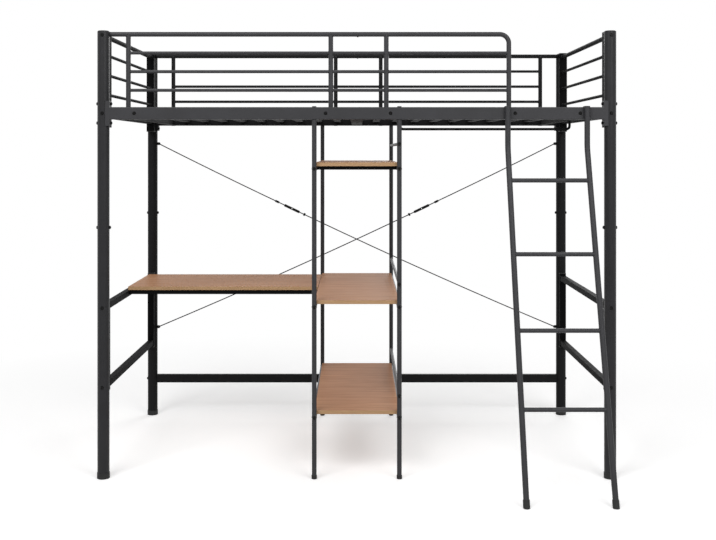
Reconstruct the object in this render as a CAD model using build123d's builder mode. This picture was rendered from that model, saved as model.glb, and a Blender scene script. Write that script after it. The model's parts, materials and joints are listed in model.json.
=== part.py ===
from build123d import *
import os
from math import atan2, cos, tan

os.makedirs("parts", exist_ok=True)

# A steel loft bed with a desk, a shelf tower and a hook-on ladder beneath it.
# X runs along the bed, Y from its front to its back, Z up from the floor.
# The origin is on the floor, in the middle of the bed's outline with its ladder.

# Fits and clearances, in millimetres
weld_gap = 0.05        # between the tubes of one welded frame, so that each stays a solid
seat_gap = 0.1         # between pieces that are bolted or laid together
slip_gap = 0.3         # between pieces that slide past each other
bolt_slip = 0.25       # round a bolt in its hole
turn_gap = 0.05        # round a rod in its turnbuckle

# Corner posts
bed_pitch_x = 2029.0   # between the post centres along the bed
bed_pitch_y = 1000.0   # between the post centres across the bed
post_d = 47.6
post_wall = 1.5
post_top = 1786.0      # where the tube ends, under its cap
post_split = 975.0     # where the upper and the lower post meet
post_bolt_above = 27.0
sleeve_long = 150.0
sleeve_wall = 2.0
foot_cap_h = 22.0
foot_cap_wall = 1.6
post_cap_dome = 3.0
post_cap_taper = 45.0
plug_deep = 18.0

# Bolts
bolt_d = 6.0
bolt_head_d = 14.5
bolt_head_h = 3.6
bolt_head_taper = 28.0
hex_sides = 6
socket_r = 2.3
socket_deep = 1.9
nut_flats_r = 5.6
nut_h = 5.0
bolt_past_nut = 1.5

# Guards above the mattress deck, on all four sides
guard_top = 1777.0     # axis of the top tubes
guard_tube_d = 19.1
guard_tube_wall = 1.2
guard_bar_d = 12.7
guard_bar_wall = 1.0
guard_bar_count = 3
guard_bar_pitch = 75.0
guard_bar_first = 1552.0
guard_outer_x = 918.0  # the upright beside the front left post
guard_rear_x = 909.0   # the uprights beside the rear posts
guard_inner_left_x = 104.5
guard_inner_right_x = 118.5
guard_gate_x = 611.0   # where the front guard ends, beside the ladder
guard_corner_r = 36.0
guard_seam_x = -10.0    # where the two halves of each guard meet
guard_foot_below = 1.5 # how far the uprights reach below the side rail
tab_end = 11.0         # of a tab beyond its bolt
tab_thick = 4.0
tab_high = 34.0
tab_bolt_out = 20.0    # from an upright to the bolt beside it
tab_bolt_near = 16.0   # from the inner right upright to its bolt
tab_bolt_far = 31.0    # from the outer uprights to their bolts
joiner_long = 60.0
joiner_wall = 1.4
joiner_screw_out = 14.0  # from the seam to the screw under the tube
joiner_screw_d = 3.5
joiner_screw_head_d = 7.5
joiner_screw_head_h = 2.0
joiner_screw_long = 9.0

# End frames between the posts
frame_post_w = 36.0
frame_post_out = 62.0  # from the post's centre to the upright's inner face
frame_post_web = 26.0  # from the post's centre to the hollow of the upright
frame_post_wall = 1.5
frame_bottom = 1406.0
frame_top_bar = 1770.0
frame_bar_first = 1536.0
frame_bar_pitch = 80.0
frame_rail_z = 1455.0
frame_rail_w = 20.0
frame_rail_h = 30.0
frame_bolt_top = 1771.0
frame_plug_h = 3.0
solid_web = 6.0        # the least between a post and the hollow of an upright
panel_post_w = 30.0
panel_post_out = 52.0
panel_bottom = 345.0
panel_top = 703.0
panel_low_rail = 365.0
panel_rail_w = 26.0
panel_rail_h = 25.0

# Side rails and the mattress deck
rail_h = 49.0
rail_w = 25.0
rail_wall = 1.5
rail_corner = 2.5
tube_corner = 1.5      # of every other rectangular tube
rail_top = 1483.0
rail_out = 11.0        # the rail's centre line stands this far outside the post centres
plate_w = 37.5
plate_h = 100.0
plate_out = 29.0       # from the post's centre to the plate's inner face
plate_bolt_inset = 11.5
deck_bottom = 1437.0
deck_h = 25.0
deck_side_w = 20.0
deck_end_w = 25.0
deck_wall = 1.5
deck_half_x = 928.0
deck_seam = 1.0
slat_count = 9
slat_w = 32.0
slat_h = 12.0
slat_wall = 1.0
deck_end_bolt_x = 890.0
spacer_d = 12.0

# Rear stretcher and the two tie rods behind the bed
stretcher_z = 179.0
stretcher_h = 40.0
stretcher_w = 20.0
stretcher_wall = 1.5
stretcher_plug_long = 30.0
tie_d = 5.0
tie_high = 1344.5      # where a rod leaves its upper lug
tie_low = 435.0
tie_sag = 19.0
tie_apart = 5.6        # between the two rods where they cross
tie_eye_d = 12.0
tie_eye_thick = 5.4
tie_bolt_head_d = 10.5
lug_out = 31.0         # from the post's centre to the eye's centre
lug_thick = 4.0
lug_h = 14.0
turnbuckle_x = 322.0
turnbuckle_long = 83.0
turnbuckle_d = 13.0
turnbuckle_bore_room = 16.0  # the rods' ends stand this far apart inside
turnbuckle_hole_d = 4.5
turnbuckle_chamfer = 2.0
ferrule_d = 11.0
ferrule_long = 20.0
ferrule_gap = 30.0
lock_nut_d = 14.5
lock_nut_long = 9.0
lock_nut_gap = 22.0
tie_straight = 62.0    # of each rod beyond its turnbuckle

# Shelf tower
tower_x = 170.0        # the axes of its side frames
tower_tube_d = 19.1
tower_tube_wall = 1.2
tower_bar_d = 12.7
tower_foot_h = 14.0
tower_foot_wall = 1.4
board_thick = 15.0
board_front_gap = 3.0
board_long = 926.0
board_half_w = 169.0
shelf_low_top = 268.7
shelf_mid_top = 709.7
shelf_high_top = 1262.0
side_bar_above_low = 62.0
side_bar_above_mid = 66.0
side_bar_above_high = 74.0
strap_w = 16.0
strap_thick = 3.5
strap_drop = 46.0
shelf_tie_h = 14.0
shelf_tie_w = 14.0
shelf_tie_in = 10.0

# Desk
desk_front = 420.0     # behind the front post centres
desk_deep = 458.0
desk_left_x = 1009.0
desk_right_x = 171.0
desk_bar_h = 19.0
desk_bar_w = 19.0
desk_bar_in = 6.0

# Ladder
stile_d = 22.2
stile_wall = 1.5
stile_left_top_x = 600.0
stile_left_foot_x = 622.0
stile_right_top_x = 915.0
stile_right_foot_x = 950.0
stile_bend_z = 1322.0
stile_bend_r = 150.0
ladder_foot_out = 354.0  # how far its feet stand in front of the posts
rung_d = 17.0
rung_wall = 1.2
rung_count = 4
rung_first = 340.0
rung_pitch = 284.0
hook_w = 18.0
hook_thick = 3.5
hook_drop = 24.0
shoe_d = 26.0
shoe_h = 26.0
shoe_sole = 4.0

# Hanging rail under the deck
hanger_d = 11.0
hanger_z = 1402.0
hanger_y = 310.0       # behind the front post centres
hanger_bend_r = 14.0
hanger_slat = 2        # the slat of the right half that carries its left end
hanger_flange_d = 24.0
hanger_flange_h = 2.5

# Places worked out from the sizes above
x_post = bed_pitch_x / 2
post_r = post_d / 2
stile_out = rail_out + rail_w / 2 + slip_gap + stile_d / 2
lean = atan2(ladder_foot_out - stile_out, stile_bend_z - shoe_sole)
front_reach = ladder_foot_out + shoe_sole * tan(lean) + shoe_d / 2 / cos(lean)
rear_reach = post_r + seat_gap + bolt_head_h
y_front = front_reach - (front_reach + bed_pitch_y + rear_reach) / 2
y_rear = y_front + bed_pitch_y
rail_mid_z = rail_top - rail_h / 2
x_plate = x_post - plate_out
tie_y = tie_apart / 2
hole_d = bolt_d + 2 * bolt_slip

# Each side is its name, the place of its posts across the bed and the way inwards
SIDES = [("front", y_front, 1), ("rear", y_rear, -1)]
ENDS = [("left", -x_post, 1), ("right", x_post, -1)]
AXIS_X = Vector(1, 0, 0)
AXIS_Y = Vector(0, 1, 0)
AXIS_Z = Vector(0, 0, 1)


def rod(start, end, diameter, wall=0, mode=Mode.ADD):
    """A round bar from one point to another, or a tube where it has a wall."""
    start = Vector(*start)
    run = Vector(*end) - start
    with BuildSketch(Plane(origin=start, z_dir=run.normalized())) as section:
        Circle(diameter / 2)
        if wall:
            Circle(diameter / 2 - wall, mode=Mode.SUBTRACT)
    extrude(section.sketch, amount=run.length, mode=mode)


def box_tube(start, end, width, height, wall, corner=tube_corner, mode=Mode.ADD):
    """A level rectangular tube from one point to another, its width lying flat."""
    start = Vector(*start)
    run = Vector(*end) - start
    across = AXIS_Z.cross(run).normalized()
    with BuildSketch(Plane(origin=start, x_dir=across, z_dir=run.normalized())) as section:
        RectangleRounded(width, height, corner)
        if wall:
            Rectangle(width - 2 * wall, height - 2 * wall, mode=Mode.SUBTRACT)
    extrude(section.sketch, amount=run.length, mode=mode)


def slab(low, high, mode=Mode.ADD):
    """A block between its lowest and its highest corner."""
    low, high = Vector(*low), Vector(*high)
    size = high - low
    with BuildSketch(Plane(origin=(low + high) / 2 - AXIS_Z * size.Z / 2)) as base:
        Rectangle(size.X, size.Y)
    extrude(base.sketch, amount=size.Z, mode=mode)


def drill(start, run, diameter=hole_d):
    """A hole from a point, along a run."""
    start = Vector(*start)
    rod(start, start + run, diameter, mode=Mode.SUBTRACT)


def bolt(seat, way, length, head_d=bolt_head_d):
    """A button-head bolt with its head on the seat and its shank along the way."""
    seat = Vector(*seat)
    with BuildSketch(Plane(origin=seat, z_dir=-way)) as head:
        Circle(head_d / 2)
    extrude(head.sketch, amount=bolt_head_h, taper=bolt_head_taper)
    rod(seat, seat + way * length, bolt_d)
    with BuildSketch(Plane(origin=seat - way * bolt_head_h, z_dir=way)) as socket:
        RegularPolygon(socket_r, hex_sides)
    extrude(socket.sketch, amount=socket_deep, mode=Mode.SUBTRACT)


def nut(seat, way):
    """A hexagon nut that stands on the seat and runs along the way."""
    seat = Vector(*seat)
    with BuildSketch(Plane(origin=seat, z_dir=way)) as section:
        RegularPolygon(nut_flats_r, hex_sides, major_radius=False)
        Circle(bolt_d / 2 + turn_gap, mode=Mode.SUBTRACT)
    extrude(section.sketch, amount=nut_h)


def save(piece, label):
    """Name the piece and write its file."""
    piece.part.label = label
    export_step(piece.part, f"parts/{label}.step")


# Corner posts, in two lengths that meet over an inner sleeve
post_bolt_z = post_split + post_bolt_above
rail_bolt_z = [rail_mid_z + plate_h / 2 - plate_bolt_inset, rail_mid_z - plate_h / 2 + plate_bolt_inset]
frame_bolt_z = [frame_bolt_top, rail_mid_z]
shelf_mid_bottom = shelf_mid_top - board_thick
panel_high_rail = shelf_mid_bottom - seat_gap - panel_rail_h / 2
panel_bolt_z = [panel_high_rail, panel_low_rail]


def post_holes(post_x, post_y, in_x, in_y, rear):
    """The bolt holes of one post: along X for the rails and the sleeve, along Y for the end frames."""
    along_x = rail_bolt_z + [post_bolt_z] + ([stretcher_z] if rear else [])
    for hole_z in along_x:
        drill((post_x - in_x * post_d, post_y, hole_z), AXIS_X * in_x * 2 * post_d)
    for hole_z in frame_bolt_z + panel_bolt_z:
        drill((post_x, post_y - in_y * post_d, hole_z), AXIS_Y * in_y * 2 * post_d)


for end, post_x, in_x in ENDS:
    for side, post_y, in_y in SIDES:
        with BuildPart() as lower_post:
            rod((post_x, post_y, foot_cap_wall + seat_gap), (post_x, post_y, post_split), post_d, post_wall)
            post_holes(post_x, post_y, in_x, in_y, side == "rear")
        save(lower_post, f"lower_post_{side}_{end}")

        with BuildPart() as upper_post:
            rod((post_x, post_y, post_split + seat_gap), (post_x, post_y, post_top), post_d, post_wall)
            post_holes(post_x, post_y, in_x, in_y, side == "rear")
        save(upper_post, f"upper_post_{side}_{end}")

with BuildPart() as post_sleeves:
    for end, post_x, in_x in ENDS:
        for side, post_y, in_y in SIDES:
            rod(
                (post_x, post_y, post_split - sleeve_long / 2),
                (post_x, post_y, post_split + sleeve_long / 2),
                post_d - 2 * post_wall - 2 * seat_gap,
                sleeve_wall,
            )
            drill((post_x - post_d, post_y, post_bolt_z), AXIS_X * 2 * post_d)
save(post_sleeves, "post_sleeves")

# Plastic foot cap: a cup that the post's end stands in
with BuildPart() as foot_caps:
    for end, post_x, in_x in ENDS:
        for side, post_y, in_y in SIDES:
            cup_d = post_d + 2 * seat_gap + 2 * foot_cap_wall
            rod((post_x, post_y, 0), (post_x, post_y, foot_cap_h), cup_d)
            rod(
                (post_x, post_y, foot_cap_wall),
                (post_x, post_y, foot_cap_h),
                post_d + 2 * seat_gap,
                mode=Mode.SUBTRACT,
            )
save(foot_caps, "foot_caps")

# Top cap: a plug in the post with a low dome above it
with BuildPart() as post_caps:
    for end, post_x, in_x in ENDS:
        for side, post_y, in_y in SIDES:
            with BuildSketch(Plane.XY.offset(post_top + seat_gap)) as dome:
                with Locations((post_x, post_y)):
                    Circle(post_r)
            extrude(amount=post_cap_dome, taper=post_cap_taper)
            rod(
                (post_x, post_y, post_top + seat_gap - plug_deep / 2),
                (post_x, post_y, post_top + seat_gap),
                post_d - 2 * post_wall - 2 * seat_gap,
                post_wall,
            )
save(post_caps, "post_caps")

# End frames: two uprights that saddle the posts, with bars between them
def saddle_upright(post_x, post_y, in_y, low, high, width, reach):
    """A hollow upright with one face cut round the post."""
    web = min(frame_post_web, reach - solid_web)
    with BuildSketch(Plane.XY.offset(low)) as section:
        with Locations((post_x, post_y + in_y * (post_r / 2 + reach) / 2)):
            Rectangle(width, reach - post_r / 2)
        with Locations((post_x, post_y)):
            Circle(post_r + seat_gap, mode=Mode.SUBTRACT)
        with Locations((post_x, post_y + in_y * (web + reach - frame_post_wall) / 2)):
            Rectangle(width - 2 * frame_post_wall, reach - frame_post_wall - web, mode=Mode.SUBTRACT)
    extrude(section.sketch, amount=high - low)


def across_y(reach):
    """The two ends of a bar that spans the bed between uprights of that reach."""
    return y_front + reach + weld_gap, y_rear - reach - weld_gap


for end, post_x, in_x in ENDS:
    with BuildPart() as end_frame:
        bar_start, bar_stop = across_y(frame_post_out)
        rod(
            (post_x, bar_start, frame_top_bar),
            (post_x, bar_stop, frame_top_bar),
            guard_tube_d,
            guard_tube_wall,
        )
        for level in range(guard_bar_count):
            bar_z = frame_bar_first + level * frame_bar_pitch
            rod((post_x, bar_start, bar_z), (post_x, bar_stop, bar_z), guard_bar_d, guard_bar_wall)
        box_tube(
            (post_x, bar_start, frame_rail_z),
            (post_x, bar_stop, frame_rail_z),
            frame_rail_w,
            frame_rail_h,
            frame_post_wall,
        )
        for side, post_y, in_y in SIDES:
            saddle_upright(
                post_x, post_y, in_y, frame_bottom, post_top, frame_post_w, frame_post_out
            )
            for hole_z in frame_bolt_z:
                drill((post_x, post_y, hole_z), AXIS_Y * in_y * (frame_post_web + frame_post_wall))
    save(end_frame, f"guard_end_{end}")

    with BuildPart() as end_panel:
        bar_start, bar_stop = across_y(panel_post_out)
        for bar_z in panel_bolt_z:
            box_tube(
                (post_x, bar_start, bar_z),
                (post_x, bar_stop, bar_z),
                panel_rail_w,
                panel_rail_h,
                frame_post_wall,
            )
        for side, post_y, in_y in SIDES:
            saddle_upright(
                post_x, post_y, in_y, panel_bottom, panel_top, panel_post_w, panel_post_out
            )
            for hole_z in panel_bolt_z:
                drill((post_x, post_y, hole_z), AXIS_Y * in_y * (frame_post_web + frame_post_wall))
    save(end_panel, f"end_panel_{end}")

# Plugs that close the uprights of the end frames and panels
with BuildPart() as upright_plugs:
    for end, post_x, in_x in ENDS:
        for side, post_y, in_y in SIDES:
            for width, reach, plug_z in [
                (frame_post_w, frame_post_out, post_top + seat_gap),
                (frame_post_w, frame_post_out, frame_bottom - seat_gap - frame_plug_h),
                (panel_post_w, panel_post_out, panel_top + seat_gap),
                (panel_post_w, panel_post_out, panel_bottom - seat_gap - frame_plug_h),
            ]:
                with BuildSketch(Plane.XY.offset(plug_z)) as plug:
                    with Locations((post_x, post_y + in_y * (post_r / 2 + reach) / 2)):
                        Rectangle(width, reach - post_r / 2)
                    with Locations((post_x, post_y)):
                        Circle(post_r + seat_gap, mode=Mode.SUBTRACT)
                extrude(amount=frame_plug_h)
save(upright_plugs, "upright_plugs")

# The guards' uprights on each side: the place, the way its tab points and how far along its bolt is
INNER_UPRIGHTS = [(-guard_inner_left_x, -1, tab_bolt_out), (guard_inner_right_x, 1, tab_bolt_near)]
GUARD_UPRIGHTS = {
    "front": [(-guard_outer_x, 1, tab_bolt_far), *INNER_UPRIGHTS, (guard_gate_x, 1, tab_bolt_out)],
    "rear": [(-guard_rear_x, 1, tab_bolt_far), *INNER_UPRIGHTS, (guard_rear_x, -1, tab_bolt_far)],
}


def deck_bolts(side):
    """The places along the rail of the bolts that hold the guard and the deck."""
    beside = [upright_x + way * out for upright_x, way, out in GUARD_UPRIGHTS[side]]
    return beside + ([deck_end_bolt_x] if side == "front" else [])


def from_rail(post_y, in_y, depth):
    """A place across the bed, that depth inside the rail's inner face."""
    return post_y + in_y * (rail_w / 2 - rail_out + depth)


tab_depth = seat_gap
guard_depth = tab_depth + tab_thick + weld_gap + guard_tube_d / 2
deck_depth = guard_depth + guard_tube_d / 2 + slip_gap

# Side rails with a saddle plate at each end
for side, post_y, in_y in SIDES:
    rail_y = post_y - in_y * rail_out
    outer_face = rail_y - in_y * rail_w / 2
    with BuildPart() as side_rail:
        box_tube(
            (-x_plate + weld_gap, rail_y, rail_mid_z),
            (x_plate - weld_gap, rail_y, rail_mid_z),
            rail_w,
            rail_h,
            rail_wall,
            corner=rail_corner,
        )
        for bolt_x in deck_bolts(side):
            drill((bolt_x, outer_face, rail_mid_z), AXIS_Y * in_y * rail_w)
        for end, post_x, in_x in ENDS:
            with BuildSketch(Plane.XY.offset(rail_mid_z - plate_h / 2)) as plate:
                with Locations(
                    (post_x + in_x * (post_r / 2 + plate_out) / 2, outer_face + in_y * plate_w / 2)
                ):
                    Rectangle(plate_out - post_r / 2, plate_w)
                with Locations((post_x, post_y)):
                    Circle(post_r + seat_gap, mode=Mode.SUBTRACT)
            extrude(amount=plate_h)
            for hole_z in rail_bolt_z:
                drill((post_x, post_y, hole_z), AXIS_X * in_x * 2 * plate_out)
    save(side_rail, f"side_rail_{side}")


def bent_tube(points, bend_r, diameter, wall=0):
    """A round bar or tube along straight runs that join in bends of one radius."""
    with BuildLine() as path:
        FilletPolyline(*points, radius=bend_r)
    with BuildSketch(Plane(origin=path.line @ 0, z_dir=path.line % 0)) as section:
        Circle(diameter / 2)
        if wall:
            Circle(diameter / 2 - wall, mode=Mode.SUBTRACT)
    sweep(section.sketch, path=path.line)


def elbow(start, stop, way, diameter, wall):
    """A bend of a tube, which leaves its start along the way."""
    with BuildLine() as path:
        TangentArc(start, stop, tangent=way)
    with BuildSketch(Plane(origin=start, z_dir=way)) as section:
        Circle(diameter / 2)
        Circle(diameter / 2 - wall, mode=Mode.SUBTRACT)
    sweep(section.sketch, path=path.line)


# Guards along the front and the rear, each in two halves that meet over a joiner
guard_foot_z = rail_top - rail_h - guard_foot_below
bar_levels = [guard_bar_first + level * guard_bar_pitch for level in range(guard_bar_count)]
cope_d = guard_tube_d + 2 * weld_gap
screw_x = guard_seam_x + joiner_screw_out
screw_hole_d = joiner_screw_d + bolt_slip

for side, post_y, in_y in SIDES:
    guard_y = from_rail(post_y, in_y, guard_depth)
    tab_outer_y = from_rail(post_y, in_y, tab_depth)
    tab_inner_y = from_rail(post_y, in_y, tab_depth + tab_thick)
    for end, post_x, in_x in ENDS:
        uprights = [upright for upright in GUARD_UPRIGHTS[side] if upright[0] * post_x > 0]
        outer_x = max([upright[0] for upright in uprights], key=abs)
        seam_x = guard_seam_x - in_x * seat_gap / 2
        gate = side == "front" and end == "right"
        with BuildPart() as guard:
            for bar_z in bar_levels:
                rod((seam_x, guard_y, bar_z), (outer_x, guard_y, bar_z), guard_bar_d, guard_bar_wall)
            for upright_x, tab_way, bolt_out in uprights:
                foot, head = (upright_x, guard_y, guard_foot_z), (upright_x, guard_y, guard_top)
                rod(foot, head, cope_d, mode=Mode.SUBTRACT)
                if not (gate and upright_x == outer_x):
                    rod(foot, head, guard_tube_d, guard_tube_wall)
            tube_start, tube_stop = (seam_x, guard_y, guard_top), (post_x, guard_y, guard_top)
            rod(tube_start, tube_stop, cope_d, mode=Mode.SUBTRACT)
            if gate:
                bend_start = Vector(outer_x - guard_corner_r, guard_y, guard_top)
                bend_stop = Vector(outer_x, guard_y, guard_top - guard_corner_r)
                rod(tube_start, bend_start - AXIS_X * weld_gap, guard_tube_d, guard_tube_wall)
                elbow(bend_start, bend_stop, AXIS_X, guard_tube_d, guard_tube_wall)
                foot = (outer_x, guard_y, guard_foot_z)
                rod(foot, bend_stop - AXIS_Z * weld_gap, guard_tube_d, guard_tube_wall)
            else:
                rod(tube_start, tube_stop, guard_tube_d, guard_tube_wall)
                rod(
                    (post_x, post_y, guard_foot_z),
                    (post_x, post_y, post_top + post_d),
                    post_d + 2 * seat_gap,
                    mode=Mode.SUBTRACT,
                )
                saddle_x = frame_post_w / 2 + seat_gap
                saddle_y = sorted([post_y, post_y + in_y * (frame_post_out + seat_gap)])
                slab(
                    (post_x - saddle_x, saddle_y[0], guard_foot_z),
                    (post_x + saddle_x, saddle_y[1], post_top + post_d),
                    mode=Mode.SUBTRACT,
                )
            for upright_x, tab_way, bolt_out in uprights:
                bolt_x = upright_x + tab_way * bolt_out
                tab_x = sorted([upright_x, bolt_x + tab_way * tab_end])
                tab_y = sorted([tab_outer_y, tab_inner_y])
                slab(
                    (tab_x[0], tab_y[0], rail_mid_z - tab_high / 2),
                    (tab_x[1], tab_y[1], rail_mid_z + tab_high / 2),
                )
                drill((bolt_x, tab_outer_y, rail_mid_z), AXIS_Y * in_y * 2 * tab_thick)
            drill((screw_x, guard_y, guard_top - guard_tube_d), AXIS_Z * guard_tube_d, screw_hole_d)
        save(guard, f"guard_{side}_{end}")

joiner_d = guard_tube_d - 2 * guard_tube_wall - 2 * seat_gap
with BuildPart() as guard_joiners:
    for side, post_y, in_y in SIDES:
        guard_y = from_rail(post_y, in_y, guard_depth)
        joiner_start = (guard_seam_x - joiner_long / 2, guard_y, guard_top)
        joiner_stop = (guard_seam_x + joiner_long / 2, guard_y, guard_top)
        rod(joiner_start, joiner_stop, joiner_d, joiner_wall)
        drill((screw_x, guard_y, guard_top - guard_tube_d), AXIS_Z * guard_tube_d, screw_hole_d)
save(guard_joiners, "guard_joiners")

with BuildPart() as joiner_screws:
    for side, post_y, in_y in SIDES:
        screw_y = from_rail(post_y, in_y, guard_depth)
        under_tube = Vector(screw_x, screw_y, guard_top - guard_tube_d / 2 - seat_gap)
        with BuildSketch(Plane(origin=under_tube, z_dir=-AXIS_Z)) as screw_head:
            Circle(joiner_screw_head_d / 2)
        extrude(amount=joiner_screw_head_h, taper=bolt_head_taper)
        rod(under_tube, under_tube + AXIS_Z * joiner_screw_long, joiner_screw_d)
save(joiner_screws, "joiner_screws")

# Mattress deck: a frame and its slats in each half
deck_mid_z = deck_bottom + deck_h / 2
slat_bottom = deck_bottom + deck_h - slat_h
slat_pitch = (deck_half_x - deck_seam / 2) / (slat_count + 1)
member_front = from_rail(y_front, 1, deck_depth)
member_rear = from_rail(y_rear, -1, deck_depth)
inside_front = member_front + deck_side_w + weld_gap
inside_rear = member_rear - deck_side_w - weld_gap

for end, post_x, in_x in ENDS:
    seam_x, outer_x = -in_x * deck_seam / 2, -in_x * deck_half_x
    with BuildPart() as deck_frame:
        for side, post_y, in_y in SIDES:
            member_y = from_rail(post_y, in_y, deck_depth + deck_side_w / 2)
            box_tube(
                (seam_x, member_y, deck_mid_z),
                (outer_x, member_y, deck_mid_z),
                deck_side_w,
                deck_h,
                deck_wall,
            )
            for bolt_x in deck_bolts(side):
                drill(
                    (bolt_x, from_rail(post_y, in_y, deck_depth - slip_gap), rail_mid_z),
                    AXIS_Y * in_y * (deck_side_w / 2),
                )
        for member_x in (seam_x - in_x * deck_end_w / 2, outer_x + in_x * deck_end_w / 2):
            box_tube(
                (member_x, inside_front, deck_mid_z),
                (member_x, inside_rear, deck_mid_z),
                deck_end_w,
                deck_h,
                deck_wall,
            )
    save(deck_frame, f"deck_frame_{end}")

with BuildPart() as deck_slats:
    for end, post_x, in_x in ENDS:
        for slat in range(1, slat_count + 1):
            slat_x = -in_x * (deck_seam / 2 + slat * slat_pitch)
            slat_z = slat_bottom + slat_h / 2
            box_tube((slat_x, inside_front, slat_z), (slat_x, inside_rear, slat_z), slat_w, slat_h, slat_wall)
save(deck_slats, "deck_slats")

with BuildPart() as deck_spacers:
    for side, post_y, in_y in SIDES:
        for bolt_x in deck_bolts(side):
            outer_depth = seat_gap if bolt_x == deck_end_bolt_x else tab_depth + tab_thick + seat_gap
            spacer_start = (bolt_x, from_rail(post_y, in_y, outer_depth), rail_mid_z)
            spacer_stop = (bolt_x, from_rail(post_y, in_y, deck_depth - seat_gap), rail_mid_z)
            rod(spacer_start, spacer_stop, spacer_d, (spacer_d - hole_d) / 2)
save(deck_spacers, "deck_spacers")

# Rear stretcher, with a threaded block in each end
with BuildPart() as stretcher:
    box_tube(
        (-x_post, y_rear, stretcher_z),
        (x_post, y_rear, stretcher_z),
        stretcher_w,
        stretcher_h,
        stretcher_wall,
    )
    for end, post_x, in_x in ENDS:
        rod(
            (post_x, y_rear, stretcher_z - stretcher_h),
            (post_x, y_rear, stretcher_z + stretcher_h),
            post_d + 2 * seat_gap,
            mode=Mode.SUBTRACT,
        )
        block_start = post_x + in_x * (post_r + seat_gap)
        block_x = sorted([block_start, post_x + in_x * (post_r + stretcher_plug_long)])
        block_y = stretcher_w / 2 - stretcher_wall - seat_gap
        block_z = stretcher_h / 2 - stretcher_wall - seat_gap
        slab(
            (block_x[0], y_rear - block_y, stretcher_z - block_z),
            (block_x[1], y_rear + block_y, stretcher_z + block_z),
        )
        drill((post_x, y_rear, stretcher_z), AXIS_X * in_x * post_d)
save(stretcher, "rear_stretcher")

# Tie rods that cross behind the bed, each in two lengths joined by a turnbuckle
x_eye = x_post - lug_out
drop = tie_low - tie_high
part_way = (x_eye - turnbuckle_x) / (2 * x_eye)
turnbuckle_z = tie_high + drop * part_way - 4 * tie_sag * part_way * (1 - part_way)
turnbuckle_slope = (drop - 4 * tie_sag * (1 - 2 * part_way)) / (2 * x_eye)
TIES = [("a", -1, y_rear - tie_y), ("b", 1, y_rear + tie_y)]


def tie_frame(high_side, tie_plane):
    """The turnbuckle's centre, and the way down along it."""
    centre = Vector(high_side * turnbuckle_x, tie_plane, turnbuckle_z)
    return centre, Vector(-high_side, 0, turnbuckle_slope).normalized()


def tie_length(centre, way, eye):
    """One length of a tie: straight through its turnbuckle, then sagging to its eye."""
    inner = centre + way * (turnbuckle_bore_room / 2)
    outer = centre + way * (turnbuckle_long / 2 + tie_straight)
    with BuildLine() as path:
        Line(inner, outer)
        TangentArc(outer, eye, tangent=way)
    with BuildSketch(Plane(origin=inner, z_dir=way)) as section:
        Circle(tie_d / 2)
    sweep(section.sketch, path=path.line)
    rod(eye - AXIS_Y * tie_eye_thick / 2, eye + AXIS_Y * tie_eye_thick / 2, tie_eye_d)
    drill(eye - AXIS_Y * tie_eye_d, AXIS_Y * 2 * tie_eye_d)


for tie, high_side, tie_plane in TIES:
    centre, way = tie_frame(high_side, tie_plane)
    with BuildPart() as tie_rod_high:
        tie_length(centre, -way, Vector(high_side * x_eye, tie_plane, tie_high))
    save(tie_rod_high, f"tie_rod_{tie}_high")

    with BuildPart() as tie_rod_low:
        tie_length(centre, way, Vector(-high_side * x_eye, tie_plane, tie_low))
    save(tie_rod_low, f"tie_rod_{tie}_low")

    with BuildPart() as turnbuckle:
        half = way * (turnbuckle_long / 2)
        rod(centre - half, centre + half, turnbuckle_d)
        chamfer(turnbuckle.edges().filter_by(GeomType.CIRCLE), length=turnbuckle_chamfer)
        rod(centre - half, centre + half, tie_d + 2 * turn_gap, mode=Mode.SUBTRACT)
        drill(centre - AXIS_Y * turnbuckle_d, AXIS_Y * 2 * turnbuckle_d, turnbuckle_hole_d)
    save(turnbuckle, f"turnbuckle_{tie}")

with BuildPart() as tie_ferrules:
    for tie, high_side, tie_plane in TIES:
        centre, way = tie_frame(high_side, tie_plane)
        ferrule_near = centre - way * (turnbuckle_long / 2 + ferrule_gap)
        bore_wall = (ferrule_d - tie_d) / 2 - turn_gap
        rod(ferrule_near, ferrule_near - way * ferrule_long, ferrule_d, bore_wall)
save(tie_ferrules, "tie_ferrules")

with BuildPart() as tie_lock_nuts:
    for tie, high_side, tie_plane in TIES:
        centre, way = tie_frame(high_side, tie_plane)
        lock_near = centre + way * (turnbuckle_long / 2 + lock_nut_gap)
        with BuildSketch(Plane(origin=lock_near, z_dir=way)) as lock_nut:
            RegularPolygon(lock_nut_d / 2, hex_sides)
            Circle(tie_d / 2 + turn_gap, mode=Mode.SUBTRACT)
        extrude(amount=lock_nut_long)
save(tie_lock_nuts, "tie_lock_nuts")

# Lugs on the rear posts: each stands beside the eye that is bolted to it
lug_places = []
for tie, high_side, tie_plane in TIES:
    to_post = 1 if tie_plane < y_rear else -1
    lug_places.append((high_side, tie_high, tie_plane, to_post))
    lug_places.append((-high_side, tie_low, tie_plane, to_post))

with BuildPart() as tie_lugs:
    for lug_side, lug_z, tie_plane, to_post in lug_places:
        lug_y = tie_plane + to_post * (tie_eye_thick / 2 + seat_gap)
        lug_face = Plane(origin=(0, lug_y, lug_z), x_dir=AXIS_X, z_dir=AXIS_Y * to_post)
        with BuildSketch(lug_face) as lug:
            with Locations((lug_side * (x_eye + x_post) / 2, 0)):
                Rectangle(lug_out, lug_h)
            with Locations((lug_side * x_eye, 0)):
                Circle(lug_h / 2)
                Circle(hole_d / 2, mode=Mode.SUBTRACT)
        extrude(amount=lug_thick)
        rod(
            (lug_side * x_post, y_rear, lug_z - lug_h),
            (lug_side * x_post, y_rear, lug_z + lug_h),
            post_d + 2 * seat_gap,
            mode=Mode.SUBTRACT,
        )
save(tie_lugs, "tie_lugs")

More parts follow.
